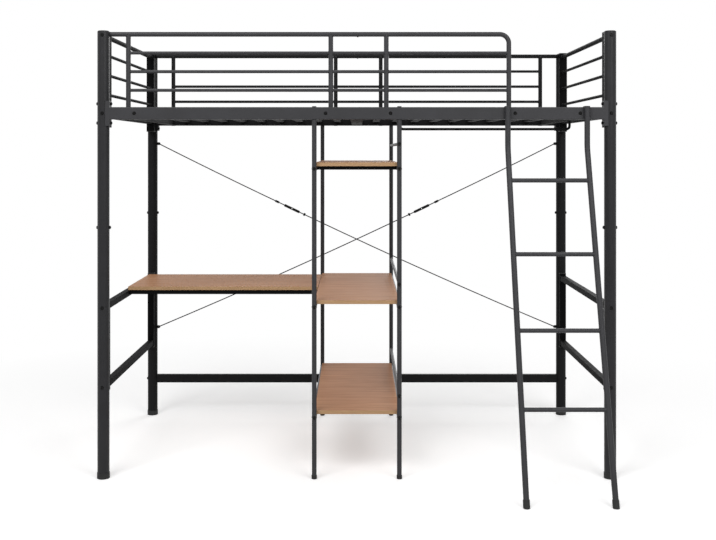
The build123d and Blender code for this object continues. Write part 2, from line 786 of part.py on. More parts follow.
# Shelf tower: two side frames that stand on the floor and hook over the side rails
tower_front = y_front - rail_out
tower_rear = y_rear - stretcher_w / 2 - slip_gap - tower_tube_d / 2
shelf_tops = [shelf_low_top, shelf_mid_top, shelf_high_top]
shelf_bars = [top - board_thick - seat_gap - tower_tube_d / 2 for top in shelf_tops]
side_bars = [
    shelf_low_top + side_bar_above_low,
    shelf_mid_top + side_bar_above_mid,
    shelf_high_top + side_bar_above_high,
]
tower_foot_z = tower_foot_wall + seat_gap
TOWER_SIDES = [("left", -tower_x, []), ("right", tower_x, side_bars)]
TOWER_LEGS = [
    (tower_front, y_front, 1, rail_top - rail_h - seat_gap),
    (tower_rear, y_rear, -1, deck_bottom - seat_gap),
]

for end, frame_x, extra_bars in TOWER_SIDES:
    with BuildPart() as tower_side:
        for bar_z in shelf_bars:
            rod((frame_x, tower_front, bar_z), (frame_x, tower_rear, bar_z), tower_tube_d, tower_tube_wall)
        for bar_z in extra_bars:
            rod((frame_x, tower_front, bar_z), (frame_x, tower_rear, bar_z), tower_bar_d, guard_bar_wall)
        for leg_y, post_y, in_y, leg_top in TOWER_LEGS:
            strap_face = from_rail(post_y, in_y, seat_gap)
            strap_back = from_rail(post_y, in_y, seat_gap + strap_thick)
            rail_face = from_rail(post_y, in_y, -rail_w)
            block_y = sorted([leg_y, strap_face, strap_back])
            leg_span = sorted([strap_face, strap_back])
            over_y = sorted([rail_face, strap_back])
            strap_x = strap_w / 2
            slab(
                (frame_x - strap_x, block_y[0], leg_top - strap_drop),
                (frame_x + strap_x, block_y[-1], leg_top),
            )
            slab(
                (frame_x - strap_x, leg_span[0], leg_top - strap_drop),
                (frame_x + strap_x, leg_span[1], rail_top + seat_gap + strap_thick),
            )
            slab(
                (frame_x - strap_x, over_y[0], rail_top + seat_gap),
                (frame_x + strap_x, over_y[1], rail_top + seat_gap + strap_thick),
            )
            foot, head = (frame_x, leg_y, tower_foot_z), (frame_x, leg_y, leg_top)
            rod(foot, head, tower_tube_d + 2 * weld_gap, mode=Mode.SUBTRACT)
            rod(foot, head, tower_tube_d, tower_tube_wall)
            for bar_z in shelf_bars + extra_bars:
                drill((frame_x, leg_y - in_y * tower_tube_d, bar_z), AXIS_Y * in_y * 2 * tower_tube_d)
    save(tower_side, f"tower_side_{end}")

with BuildPart() as tower_feet:
    for end, frame_x, extra_bars in TOWER_SIDES:
        for leg_y, post_y, in_y, leg_top in TOWER_LEGS:
            cup_d = tower_tube_d + 2 * seat_gap + 2 * tower_foot_wall
            rod((frame_x, leg_y, 0), (frame_x, leg_y, tower_foot_h), cup_d)
            rod(
                (frame_x, leg_y, tower_foot_wall),
                (frame_x, leg_y, tower_foot_h),
                tower_tube_d + 2 * seat_gap,
                mode=Mode.SUBTRACT,
            )
save(tower_feet, "tower_feet")

board_front = tower_front + tower_tube_d / 2 + board_front_gap
for board_name, board_top in zip(["low", "mid", "high"], shelf_tops):
    with BuildPart() as shelf_board:
        slab(
            (-board_half_w, board_front, board_top - board_thick),
            (board_half_w, board_front + board_long, board_top),
        )
    save(shelf_board, f"shelf_board_{board_name}")

# A tie across the front of the tower, under the highest shelf
shelf_tie_y = board_front + shelf_tie_in + shelf_tie_w / 2
shelf_tie_z = shelf_high_top - board_thick - seat_gap - shelf_tie_h / 2
shelf_tie_x = tower_x - tower_tube_d / 2 - seat_gap
with BuildPart() as shelf_tie:
    box_tube(
        (-shelf_tie_x, shelf_tie_y, shelf_tie_z),
        (shelf_tie_x, shelf_tie_y, shelf_tie_z),
        shelf_tie_w,
        shelf_tie_h,
        frame_post_wall,
    )
save(shelf_tie, "shelf_tie")

# Desk board on two rails between the left end panel and the shelf tower
desk_y = y_front + desk_front
with BuildPart() as desk_board:
    slab((-desk_left_x, desk_y, shelf_mid_bottom), (-desk_right_x, desk_y + desk_deep, shelf_mid_top))
save(desk_board, "desk_board")

desk_rail_z = shelf_mid_bottom - seat_gap - desk_bar_h / 2
desk_rail_left = -x_post + panel_rail_w / 2 + seat_gap
desk_rail_right = -tower_x - tower_tube_d / 2 - seat_gap
with BuildPart() as desk_rails:
    for bar_y in (desk_y + desk_bar_in + desk_bar_w / 2, desk_y + desk_deep - desk_bar_in - desk_bar_w / 2):
        box_tube(
            (desk_rail_left, bar_y, desk_rail_z),
            (desk_rail_right, bar_y, desk_rail_z),
            desk_bar_w,
            desk_bar_h,
            frame_post_wall,
        )
save(desk_rails, "desk_rails")

# Ladder: stiles that hang straight down before the rail, then lean out to the floor
stile_y = y_front - stile_out
shoe_y = y_front - ladder_foot_out
stile_top = rail_top + slip_gap - weld_gap
STILES = [
    ("left", stile_left_top_x, stile_left_foot_x),
    ("right", stile_right_top_x, stile_right_foot_x),
]


def stile_points(top_x, foot_x):
    """The top, the bend and the foot of a stile's axis."""
    bend = Vector(top_x, stile_y, stile_bend_z)
    return Vector(top_x, stile_y, stile_top), bend, Vector(foot_x, shoe_y, shoe_sole)


for end, top_x, foot_x in STILES:
    with BuildPart() as ladder_stile:
        bent_tube(stile_points(top_x, foot_x), stile_bend_r, stile_d, stile_wall)
    save(ladder_stile, f"ladder_stile_{end}")

with BuildPart() as ladder_rungs:
    for rung in range(rung_count):
        rung_ends = []
        for end, top_x, foot_x in STILES:
            top, bend, foot = stile_points(top_x, foot_x)
            share = (rung_first + rung * rung_pitch - foot.Z) / (bend.Z - foot.Z)
            rung_ends.append(foot + (bend - foot) * share)
        rod(*rung_ends, rung_d, rung_wall)
    for end, top_x, foot_x in STILES:
        top, bend, foot = stile_points(top_x, foot_x)
        rod(foot, bend, stile_d + 2 * weld_gap, mode=Mode.SUBTRACT)
save(ladder_rungs, "ladder_rungs")

# Hooks: a strap from each stile's top, over the rail and down behind it
with BuildPart() as ladder_hooks:
    for end, top_x, foot_x in STILES:
        hook_low = rail_top + slip_gap
        rail_back = from_rail(y_front, 1, slip_gap)
        rod((top_x, stile_y, hook_low), (top_x, stile_y, hook_low + hook_thick), stile_d)
        slab(
            (top_x - hook_w / 2, stile_y, hook_low),
            (top_x + hook_w / 2, rail_back + hook_thick, hook_low + hook_thick),
        )
        slab(
            (top_x - hook_w / 2, rail_back, rail_top - hook_drop),
            (top_x + hook_w / 2, rail_back + hook_thick, hook_low + hook_thick),
        )
save(ladder_hooks, "ladder_hooks")

# Rubber shoes: sleeves on the stiles' ends, cut off level with the floor
with BuildPart() as ladder_shoes:
    for end, top_x, foot_x in STILES:
        top, bend, foot = stile_points(top_x, foot_x)
        up = (bend - foot).normalized()
        rod(foot - up * shoe_d, foot + up * shoe_h, shoe_d)
        rod(foot, foot + up * (shoe_h + shoe_d), stile_d + 2 * seat_gap, mode=Mode.SUBTRACT)
        slab(
            (foot_x - 2 * shoe_d, shoe_y - 2 * shoe_d, -2 * shoe_d),
            (foot_x + 2 * shoe_d, shoe_y + 2 * shoe_d, 0),
            mode=Mode.SUBTRACT,
        )
save(ladder_shoes, "ladder_shoes")

# Hanging rail, turned up at both ends to the deck
hang_y = y_front + hanger_y
hang_left_x = deck_seam / 2 + hanger_slat * slat_pitch
hang_right_x = deck_half_x - deck_end_w / 2
hang_left_z = slat_bottom - seat_gap
hang_right_z = deck_bottom - seat_gap
with BuildPart() as hanging_rail:
    bent_tube(
        [
            (hang_left_x, hang_y, hang_left_z),
            (hang_left_x, hang_y, hanger_z),
            (hang_right_x, hang_y, hanger_z),
            (hang_right_x, hang_y, hang_right_z),
        ],
        hanger_bend_r,
        hanger_d,
    )
    for flange_x, flange_z in [(hang_left_x, hang_left_z), (hang_right_x, hang_right_z)]:
        rod((flange_x, hang_y, flange_z - hanger_flange_h), (flange_x, hang_y, flange_z), hanger_flange_d)
save(hanging_rail, "hanging_rail")

# Bolts along Y, from the outer faces of the posts into the end frames and panels
with BuildPart() as frame_bolts:
    for end, post_x, in_x in ENDS:
        for side, post_y, in_y in SIDES:
            for bolt_z in frame_bolt_z + panel_bolt_z:
                bolt(
                    (post_x, post_y - in_y * (post_r + seat_gap), bolt_z),
                    AXIS_Y * in_y,
                    post_r + frame_post_web + 2 * frame_post_wall,
                )
save(frame_bolts, "frame_bolts")

# Bolts along X, through the posts into the plates of the side rails
plate_bolt_long = post_r + seat_gap + plate_out + nut_h + bolt_past_nut
with BuildPart() as rail_bolts:
    for end, post_x, in_x in ENDS:
        for side, post_y, in_y in SIDES:
            for bolt_z in rail_bolt_z:
                bolt((post_x - in_x * (post_r + seat_gap), post_y, bolt_z), AXIS_X * in_x, plate_bolt_long)
save(rail_bolts, "rail_bolts")

# Bolts along X that lock the sleeves in the posts and hold the stretcher
with BuildPart() as cross_bolts:
    for end, post_x, in_x in ENDS:
        for side, post_y, in_y in SIDES:
            seat = post_x - in_x * (post_r + seat_gap)
            sleeve_bolt_long = 2 * (post_r + seat_gap) + nut_h + bolt_past_nut
            bolt((seat, post_y, post_bolt_z), AXIS_X * in_x, sleeve_bolt_long)
        bolt(
            (post_x - in_x * (post_r + seat_gap), y_rear, stretcher_z),
            AXIS_X * in_x,
            2 * post_r + stretcher_plug_long / 2,
        )
save(cross_bolts, "cross_bolts")

with BuildPart() as bolt_nuts:
    for end, post_x, in_x in ENDS:
        for side, post_y, in_y in SIDES:
            for bolt_z in rail_bolt_z:
                nut((post_x + in_x * (plate_out + seat_gap), post_y, bolt_z), AXIS_X * in_x)
            nut((post_x + in_x * (post_r + seat_gap), post_y, post_bolt_z), AXIS_X * in_x)
    for lug_side, lug_z, tie_plane, to_post in lug_places:
        seat = tie_plane + to_post * (tie_eye_thick / 2 + 2 * seat_gap + lug_thick)
        nut((lug_side * x_eye, seat, lug_z), AXIS_Y * to_post)
save(bolt_nuts, "bolt_nuts")

# Bolts through the side rails, the guards' tabs and the spacers into the deck
with BuildPart() as deck_bolt_set:
    for side, post_y, in_y in SIDES:
        rail_face = post_y - in_y * (rail_out + rail_w / 2 + seat_gap)
        for bolt_x in deck_bolts(side):
            bolt(
                (bolt_x, rail_face, rail_mid_z),
                AXIS_Y * in_y,
                seat_gap + rail_w + deck_depth + deck_wall + bolt_d,
            )
save(deck_bolt_set, "deck_bolts")

# Bolts through the tower's legs into the ends of its bars
with BuildPart() as tower_bolts:
    for end, frame_x, extra_bars in TOWER_SIDES:
        for leg_y, post_y, in_y, leg_top in TOWER_LEGS:
            for bar_z in shelf_bars + extra_bars:
                seat = leg_y - in_y * (tower_tube_d / 2 + seat_gap)
                bolt((frame_x, seat, bar_z), AXIS_Y * in_y, 2 * tower_tube_d)
save(tower_bolts, "tower_bolts")

# Bolts that hold the tie rods' eyes to their lugs
with BuildPart() as tie_bolts:
    for lug_side, lug_z, tie_plane, to_post in lug_places:
        seat = tie_plane - to_post * (tie_eye_thick / 2 + seat_gap)
        bolt(
            (lug_side * x_eye, seat, lug_z),
            AXIS_Y * to_post,
            tie_eye_thick + 3 * seat_gap + lug_thick + nut_h + bolt_past_nut,
            tie_bolt_head_d,
        )
save(tie_bolts, "tie_bolts")
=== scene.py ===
import json
import math

import bmesh
import bpy
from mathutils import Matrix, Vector


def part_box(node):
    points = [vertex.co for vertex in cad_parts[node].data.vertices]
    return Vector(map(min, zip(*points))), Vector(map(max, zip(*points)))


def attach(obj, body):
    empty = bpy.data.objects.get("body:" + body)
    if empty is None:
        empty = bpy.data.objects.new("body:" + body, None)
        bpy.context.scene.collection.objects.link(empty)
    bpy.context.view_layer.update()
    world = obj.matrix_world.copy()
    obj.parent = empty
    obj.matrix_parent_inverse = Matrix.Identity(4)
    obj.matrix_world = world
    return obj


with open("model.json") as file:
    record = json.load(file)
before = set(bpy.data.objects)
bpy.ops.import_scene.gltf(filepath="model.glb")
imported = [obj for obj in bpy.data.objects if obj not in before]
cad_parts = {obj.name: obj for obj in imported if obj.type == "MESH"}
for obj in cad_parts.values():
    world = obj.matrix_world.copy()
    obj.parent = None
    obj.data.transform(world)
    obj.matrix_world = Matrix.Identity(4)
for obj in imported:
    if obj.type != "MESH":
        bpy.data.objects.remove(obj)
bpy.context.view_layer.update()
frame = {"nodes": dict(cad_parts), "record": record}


def middle(node, axis):
    """The middle of a CAD node's box along one axis."""
    low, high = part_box(node)
    return (low[axis] + high[axis]) / 2


# The photograph's camera, worked out from its vanishing point and the ladder's even rungs
FRONT_Y = middle("lower_post_front_left", 1)
REAR_Y = middle("lower_post_rear_left", 1)
CAMERA_BACK = 4.14      # in front of the front posts' centres, metres
CAMERA_HIGH = 1.308
CAMERA_LENS = 51.98     # millimetres
IMAGE_W = 716           # pixels, as are the two below
HORIZON_ABOVE_CENTRE = 119
CENTRE_LEFT = 1.2
SENSOR_W = 36.0         # millimetres
VIEW_FAR = 60.0


def add_camera():
    """A level camera whose view is shifted down, so that verticals stay parallel."""
    data = bpy.data.cameras.new("camera")
    data.lens = CAMERA_LENS
    data.sensor_width = SENSOR_W
    data.sensor_fit = "HORIZONTAL"
    data.shift_x = CENTRE_LEFT / IMAGE_W
    data.shift_y = -HORIZON_ABOVE_CENTRE / IMAGE_W
    data.clip_end = VIEW_FAR
    camera = bpy.data.objects.new("camera", data)
    camera.location = (0.0, FRONT_Y - CAMERA_BACK, CAMERA_HIGH)
    camera.rotation_euler = (math.radians(90), 0, 0)
    bpy.context.collection.objects.link(camera)
    bpy.context.scene.camera = camera


# Shared by the finishes: the span that noise mostly fills, and the rounding of edges
NOISE_SPAN = (0.3, 0.7)
BEVEL_SAMPLES = 4
EDGE_FLAT = 0.99        # likeness of the rounded normal to the true one on open surface
EDGE_SHARP = 0.85


class Nodes:
    """A small helper that adds a material's shader nodes and feeds their inputs by name or number."""

    def __init__(self, name):
        self.material = bpy.data.materials.new(name)
        self.material.use_nodes = True
        self.tree = self.material.node_tree
        self.tree.nodes.clear()

    def add(self, kind, settings=None, **inputs):
        """One node, with its settings as attributes and its inputs as values or sockets."""
        node = self.tree.nodes.new(kind)
        for key, value in (settings or {}).items():
            setattr(node, key, value)
        for key, value in inputs.items():
            self.feed(node, key.replace("_", " "), value)
        return node

    def feed(self, node, key, value):
        """Set an input of a node, by its name or its number."""
        socket = node.inputs[int(key)] if key.isdigit() else node.inputs[key]
        if isinstance(value, bpy.types.NodeSocket):
            self.tree.links.new(value, socket)
        else:
            socket.default_value = value

    def math(self, operation, first, second):
        """The result of a sum on two values."""
        node = self.add("ShaderNodeMath", {"operation": operation})
        self.feed(node, "0", first)
        self.feed(node, "1", second)
        return node.outputs[0]

    def place(self, scale=(1, 1, 1)):
        """The place on the object in metres, stretched by a scale on each axis."""
        coordinates = self.add("ShaderNodeTexCoord")
        mapping = self.add("ShaderNodeMapping", Scale=scale)
        self.feed(mapping, "Vector", coordinates.outputs["Object"])
        return mapping.outputs["Vector"]

    def noise(self, vector, scale, detail=3.0, roughness=0.5):
        """Noise on a vector, as a value about 0.5."""
        node = self.add("ShaderNodeTexNoise", Vector=vector, Scale=scale, Detail=detail, Roughness=roughness)
        return node.outputs["Fac"]

    def remap(self, value, low, high, to_low=0.0, to_high=1.0):
        """A value's range turned into another, with no overshoot."""
        node = self.add("ShaderNodeMapRange", Value=value)
        for key, number in (("From Min", low), ("From Max", high), ("To Min", to_low), ("To Max", to_high)):
            self.feed(node, key, number)
        return node.outputs["Result"]

    def blend(self, share, first, second):
        """Two colours mixed by a share."""
        node = self.add("ShaderNodeMix", {"data_type": "RGBA"})
        for key, value in (("0", share), ("6", first), ("7", second)):
            self.feed(node, key, value)
        return node.outputs[2]

    def bump(self, height, strength, distance, normal):
        """A bump from a height, over another normal."""
        node = self.add("ShaderNodeBump", Height=height, Strength=strength, Distance=distance, Normal=normal)
        return node.outputs["Normal"]

    def rounded(self, radius):
        """The surface's normal with its edges rounded by a radius."""
        return self.add("ShaderNodeBevel", {"samples": BEVEL_SAMPLES}, Radius=radius).outputs["Normal"]

    def edge(self, radius):
        """A value that is 1 along edges and 0 on open surface."""
        geometry = self.add("ShaderNodeNewGeometry")
        likeness = self.add("ShaderNodeVectorMath", {"operation": "DOT_PRODUCT"})
        self.feed(likeness, "0", self.rounded(radius))
        self.feed(likeness, "1", geometry.outputs["Normal"])
        return self.remap(likeness.outputs["Value"], EDGE_FLAT, EDGE_SHARP)

    def finish(self, color, roughness, normal, specular):
        """The surface shader, with its constants set on its own sockets."""
        shader = self.add("ShaderNodeBsdfPrincipled", Roughness=roughness, Normal=normal)
        self.feed(shader, "Base Color", color)
        self.feed(shader, "Specular IOR Level", specular)
        output = self.add("ShaderNodeOutputMaterial")
        self.feed(output, "Surface", shader.outputs["BSDF"])
        return self.material


def grey(level, cool=0.0):
    """A colour near grey, a little bluer where it is cool."""
    return (level * (1 - cool), level * (1 - cool), level * (1 + 2 * cool), 1.0)


# Powder coat: its noises' scales per metre, and sizes in metres
CLOUD_SCALE = 9.0
FLECK_SCALE = 900.0
WEAR_SCALE = 26.0
GLOSS_SCALE = 60.0
PEEL_SCALE = 420.0
PEEL_STRENGTH = 0.12
PEEL_DEPTH = 0.0006
COAT_EDGE_R = 0.0012
COAT_GLOSS_DOWN = 0.05
COAT_GLOSS_UP = 0.06
# Its tones, as shares of its level of grey, and how far they lean to blue
CLOUD_DARK = 0.9
CLOUD_LIGHT = 1.1
FLECK_LIGHT = 1.6
RUB_LIGHT = 2.1
RUB_ADDED = 0.002
COOL_DARK = 0.02
COOL_LIGHT = 0.03


def powder_coat(name, level, roughness, specular):
    """Satin powder coat: fine orange peel, faint clouds and flecks, and edges rubbed a little lighter."""
    nodes = Nodes(name)
    place = nodes.place()
    cloud = nodes.remap(nodes.noise(place, CLOUD_SCALE), *NOISE_SPAN)
    fleck = nodes.remap(nodes.noise(place, FLECK_SCALE, detail=2.0), 0.35, 0.75, 0.0, 0.25)
    color = nodes.blend(cloud, grey(level * CLOUD_DARK, COOL_DARK), grey(level * CLOUD_LIGHT, COOL_LIGHT))
    color = nodes.blend(fleck, color, grey(level * FLECK_LIGHT, COOL_LIGHT))
    wear = nodes.remap(nodes.noise(place, WEAR_SCALE, detail=4.0), 0.45, 0.7, 0.15, 0.6)
    rub = nodes.math("MULTIPLY", nodes.edge(COAT_EDGE_R), wear)
    color = nodes.blend(rub, color, grey(level * RUB_LIGHT + RUB_ADDED, COOL_DARK))
    haze = nodes.noise(place, GLOSS_SCALE)
    gloss = nodes.remap(haze, *NOISE_SPAN, roughness - COAT_GLOSS_DOWN, roughness + COAT_GLOSS_UP)
    peel = nodes.noise(place, PEEL_SCALE, detail=2.0)
    normal = nodes.bump(peel, PEEL_STRENGTH, PEEL_DEPTH, nodes.rounded(COAT_EDGE_R))
    return nodes.finish(color, gloss, normal, specular)


# Wood-effect board: its colours, and its noises' scales on X, Y and Z
BOARD_DARK = (0.315, 0.144, 0.07, 1)
BOARD_MID = (0.425, 0.213, 0.112, 1)
BOARD_LIGHT = (0.535, 0.3, 0.172, 1)
BAND_DARK = (0.33, 0.198, 0.101, 1)
BAND_LIGHT = (0.415, 0.267, 0.152, 1)
WARP_STRETCH = (0.7, 4.0, 4.0)
WARP_SCALE = 2.0
FIGURE_STRETCH = (1.1, 15.0, 15.0)
FIGURE_SCALE = 3.2
STREAK_STRETCH = (4.0, 130.0, 130.0)
STREAK_SCALE = 3.0
GRAIN_STRENGTH = 0.15
GRAIN_DEPTH = 0.0004
BOARD_EDGE_R = 0.0012
BOARD_SPECULAR = 0.03
BOARD_ROUGHNESS = (0.36, 0.5)


def board(name):
    """Wood-effect board: reddish tan with its grain along X, and a paler band on its edges."""
    nodes = Nodes(name)
    warp = nodes.noise(nodes.place(WARP_STRETCH), WARP_SCALE)
    figure = nodes.noise(nodes.place(FIGURE_STRETCH), FIGURE_SCALE, detail=6.0, roughness=0.62)
    streak = nodes.noise(nodes.place(STREAK_STRETCH), STREAK_SCALE, detail=4.0, roughness=0.6)
    color = nodes.blend(nodes.remap(figure, 0.34, 0.66), BOARD_DARK, BOARD_LIGHT)
    color = nodes.blend(nodes.remap(warp, *NOISE_SPAN, 0.2, 0.6), color, BOARD_MID)
    color = nodes.blend(nodes.remap(streak, 0.42, 0.78, 0.0, 0.42), color, BOARD_DARK)
    geometry = nodes.add("ShaderNodeNewGeometry")
    split = nodes.add("ShaderNodeSeparateXYZ", Vector=geometry.outputs["Normal"])
    side = nodes.remap(nodes.math("ABSOLUTE", split.outputs["Z"], 0.0), 0.6, 0.4)
    band = nodes.blend(nodes.remap(streak, *NOISE_SPAN), BAND_DARK, BAND_LIGHT)
    color = nodes.blend(side, color, band)
    gloss = nodes.remap(streak, *NOISE_SPAN, *BOARD_ROUGHNESS)
    normal = nodes.bump(streak, GRAIN_STRENGTH, GRAIN_DEPTH, nodes.rounded(BOARD_EDGE_R))
    return nodes.finish(color, gloss, normal, BOARD_SPECULAR)


# Moulded plastic and rubber
MOULD_TONE_SCALE = 40.0
MOULD_GLOSS_SCALE = 120.0
MOULD_STRENGTH = 0.2
MOULD_DEPTH = 0.0004
MOULD_EDGE_R = 0.0015
MOULD_SPECULAR = 0.2
MOULD_GLOSS_SPREAD = 0.05
MOULD_DARK = 0.85
MOULD_LIGHT = 1.2


def moulded(name, level, roughness, grain):
    """Moulded plastic or rubber with a fine grain."""
    nodes = Nodes(name)
    place = nodes.place()
    tone = nodes.remap(nodes.noise(place, MOULD_TONE_SCALE), *NOISE_SPAN)
    color = nodes.blend(tone, grey(level * MOULD_DARK), grey(level * MOULD_LIGHT))
    haze = nodes.noise(place, MOULD_GLOSS_SCALE, detail=2.0)
    gloss = nodes.remap(haze, *NOISE_SPAN, roughness - MOULD_GLOSS_SPREAD, roughness + MOULD_GLOSS_SPREAD)
    pores = nodes.noise(place, grain, detail=2.0)
    normal = nodes.bump(pores, MOULD_STRENGTH, MOULD_DEPTH, nodes.rounded(MOULD_EDGE_R))
    return nodes.finish(color, gloss, normal, MOULD_SPECULAR)


# Blackened steel
SCRATCH_STRETCH = (60.0, 400.0, 400.0)
SCRATCH_SCALE = 4.0
STEEL_TONE_SCALE = 50.0
SCRATCH_STRENGTH = 0.1
SCRATCH_DEPTH = 0.0002
STEEL_EDGE_R = 0.0006
STEEL_GLOSS_SPREAD = 0.08
STEEL_DARK = 0.85
STEEL_LIGHT = 1.15


def blackened_steel(name, level, roughness, specular):
    """Blackened steel with fine scratches."""
    nodes = Nodes(name)
    scratch = nodes.noise(nodes.place(SCRATCH_STRETCH), SCRATCH_SCALE)
    tone = nodes.remap(nodes.noise(nodes.place(), STEEL_TONE_SCALE), *NOISE_SPAN)
    color = nodes.blend(tone, grey(level * STEEL_DARK), grey(level * STEEL_LIGHT))
    gloss = nodes.remap(scratch, *NOISE_SPAN, roughness - STEEL_GLOSS_SPREAD, roughness + STEEL_GLOSS_SPREAD)
    normal = nodes.bump(scratch, SCRATCH_STRENGTH, SCRATCH_DEPTH, nodes.rounded(STEEL_EDGE_R))
    return nodes.finish(color, gloss, normal, specular)


# One frame paint in a lit copy and shaded copies, whose levels of grey hold painted light and painted shade:
# each copy's level of grey, roughness and specular level
LIT_AND_SHADED_PAINT = {
    "front": powder_coat("frame_paint_front_painted_light", 0.033, 0.42, 0.18),
    "post": powder_coat("frame_paint_posts_painted_shade", 0.019, 0.34, 0.17),
    "end": powder_coat("frame_paint_ends_painted_shade", 0.004, 0.55, 0.02),
    "rear": powder_coat("frame_paint_rear_painted_shade", 0.007, 0.5, 0.1),
    "deck": powder_coat("frame_paint_deck_painted_shade", 0.007, 0.6, 0.05),
}
MATERIALS = {
    "board_wood": board("board_wood_grain"),
    "cap_plastic": moulded("cap_plastic_moulded", 0.02, 0.5, 1500.0),
    "shoe_rubber": moulded("shoe_rubber_moulded", 0.022, 0.6, 900.0),
    "tie_steel": blackened_steel("tie_steel_drawn", 0.006, 0.4, 0.05),
    "turnbuckle_steel": blackened_steel("turnbuckle_blackened", 0.006, 0.35, 0.15),
    "bolt_steel": blackened_steel("bolt_blackened", 0.004, 0.2, 0.15),
}
# The nodes that take each shaded copy of the frame paint, with painted shade in its level of grey
SHADED_PAINT_GROUPS = {
    "post": ("lower_post_front", "upper_post_front", "post_sleeves"),
    "end": ("guard_end", "end_panel", "desk_rails", "shelf_tie"),
    "rear": (
        "lower_post_rear",
        "upper_post_rear",
        "rear_stretcher",
        "side_rail_rear",
        "guard_rear",
        "tie_lugs",
    ),
    "deck": ("deck_", "hanging_rail"),
}


def lit_and_shaded_copy_for(node):
    """A node's copy of the frame paint: painted shade makes posts, ends, rear and deck darker than the
    front, as the photograph shows.
    """
    for group, starts in SHADED_PAINT_GROUPS.items():
        if node.startswith(starts):
            return LIT_AND_SHADED_PAINT[group]
    return LIT_AND_SHADED_PAINT["front"]


def dress_cad_nodes():
    """Give every CAD node the finish of its material slot; a frame-paint node takes its group's copy, with
    painted shade on every group but the front.
    """
    slots = {entry["node"]: entry["material_slot"] for entry in frame["record"]["subparts"]}
    for name, piece in frame["nodes"].items():
        material = MATERIALS.get(slots[name]) or lit_and_shaded_copy_for(name)
        if not piece.material_slots:
            piece.data.materials.append(material)
        for slot in piece.material_slots:
            slot.material = material


# Weld beads, where one tube ends against another, in metres
BEAD_R = 0.0012
BEAD_STEPS = 32
BEAD_SIDES = 6
BEAD_RIPPLES = 11
BEAD_RIPPLE = 0.16


def bead_ring(mesh, centre, way, along, tube_r, against_r):
    """A rippled bead round a tube that leaves another tube, or a flat face where that has no radius.

    The centre is on the other tube's axis or on the face, and along is that tube's direction.
    """
    way = way.normalized()
    across = way.cross(along).normalized()
    along = across.cross(way)
    path = []
    for step in range(BEAD_STEPS):
        turn = 2 * math.pi * step / BEAD_STEPS
        off = tube_r * math.sin(turn)
        reach = math.sqrt(max(against_r ** 2 - off ** 2, 0.0)) if against_r else 0.0
        path.append(centre + way * reach + along * tube_r * math.cos(turn) + across * off)
    rings = []
    for step, point in enumerate(path):
        run = (path[(step + 1) % BEAD_STEPS] - path[step - 1]).normalized()
        outward = (point - centre - way * (point - centre).dot(way)).normalized()
        third = run.cross(outward).normalized()
        outward = third.cross(run).normalized()
        size = BEAD_R * (1 + BEAD_RIPPLE * math.sin(BEAD_RIPPLES * 2 * math.pi * step / BEAD_STEPS))
        ring = []
        for side in range(BEAD_SIDES):
            turn = 2 * math.pi * side / BEAD_SIDES
            ring.append(mesh.verts.new(point + (outward * math.cos(turn) + third * math.sin(turn)) * size))
        rings.append(ring)
    for step in range(BEAD_STEPS):
        near, far = rings[step], rings[(step + 1) % BEAD_STEPS]
        for side in range(BEAD_SIDES):
            after = (side + 1) % BEAD_SIDES
            mesh.faces.new((near[side], near[after], far[after], far[side]))


def add_beads(name, body, places):
    """One object with every bead of a welded body."""
    mesh = bmesh.new()
    for place in places:
        bead_ring(mesh, *place)
    bmesh.ops.recalc_face_normals(mesh, faces=mesh.faces)
    data = bpy.data.meshes.new(name)
    mesh.to_mesh(data)
    mesh.free()
    for face in data.polygons:
        face.use_smooth = True
    # The beads take the front's lit copy of the frame paint, whose level of grey holds painted light
    data.materials.append(LIT_AND_SHADED_PAINT["front"])
    piece = bpy.data.objects.new(name, data)
    bpy.context.collection.objects.link(piece)
    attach(piece, body)


# The tubes that meet on the bed frame, in metres, as the part has them
TUBE_R = 0.00955
BAR_R = 0.00635
RUNG_R = 0.0085
STILE_R = 0.0111
POST_X = 1.0145
GUARD_IN = 0.0152
GUARD_TOP = 1.777
GUARD_BARS = (1.552, 1.627, 1.702)
GUARD_INNER = (-0.1045, 0.1185)
GUARD_OUTER = {1: (-0.918, 0.611), -1: (-0.909, 0.909)}  # 1 at the front, -1 at the rear
END_BARS = ((1.770, TUBE_R), (1.536, BAR_R), (1.616, BAR_R), (1.696, BAR_R))
END_REACH = 0.062
TOWER_X = 0.170
TOWER_FOOT_R = 0.01105
TOWER_SHELF_BARS = (0.24405, 0.68505, 1.23735)
TOWER_SIDE_BARS = (0.3307, 0.7757, 1.336)
X, Y, Z = Vector((1, 0, 0)), Vector((0, 1, 0)), Vector((0, 0, 1))


def frame_beads():
    """The places of the beads on the bed frame: centre, way, along, the tube's radius and the other's."""
    places = []
    for inward, post_y in ((1, FRONT_Y), (-1, REAR_Y)):
        guard_y = post_y + inward * GUARD_IN
        left, right = GUARD_OUTER[inward]
        for z in GUARD_BARS:
            ends = [(left, X), (right, -X)] + [(x, way) for x in GUARD_INNER for way in (X, -X)]
            places += [(Vector((x, guard_y, z)), way, Z, BAR_R, TUBE_R) for x, way in ends]
        # The front guard's right end has an elbow in place of a weld under its top bar
        welded = (left, *GUARD_INNER) if inward == 1 else (left, *GUARD_INNER, right)
        places += [(Vector((x, guard_y, GUARD_TOP)), -Z, X, TUBE_R, TUBE_R) for x in welded]
        for x in (-POST_X, POST_X):
            face_y = post_y + inward * END_REACH
            places += [(Vector((x, face_y, z)), Y * inward, Z, tube_r, 0.0) for z, tube_r in END_BARS]
    low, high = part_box("tower_feet")
    front, rear = low[1] + TOWER_FOOT_R, high[1] - TOWER_FOOT_R
    for x, side_bars in ((-TOWER_X, ()), (TOWER_X, TOWER_SIDE_BARS)):
        for y, way in ((front, Y), (rear, -Y)):
            places += [(Vector((x, y, z)), way, Z, TUBE_R, TUBE_R) for z in TOWER_SHELF_BARS]
            places += [(Vector((x, y, z)), way, Z, BAR_R, TUBE_R) for z in side_bars]
    return places


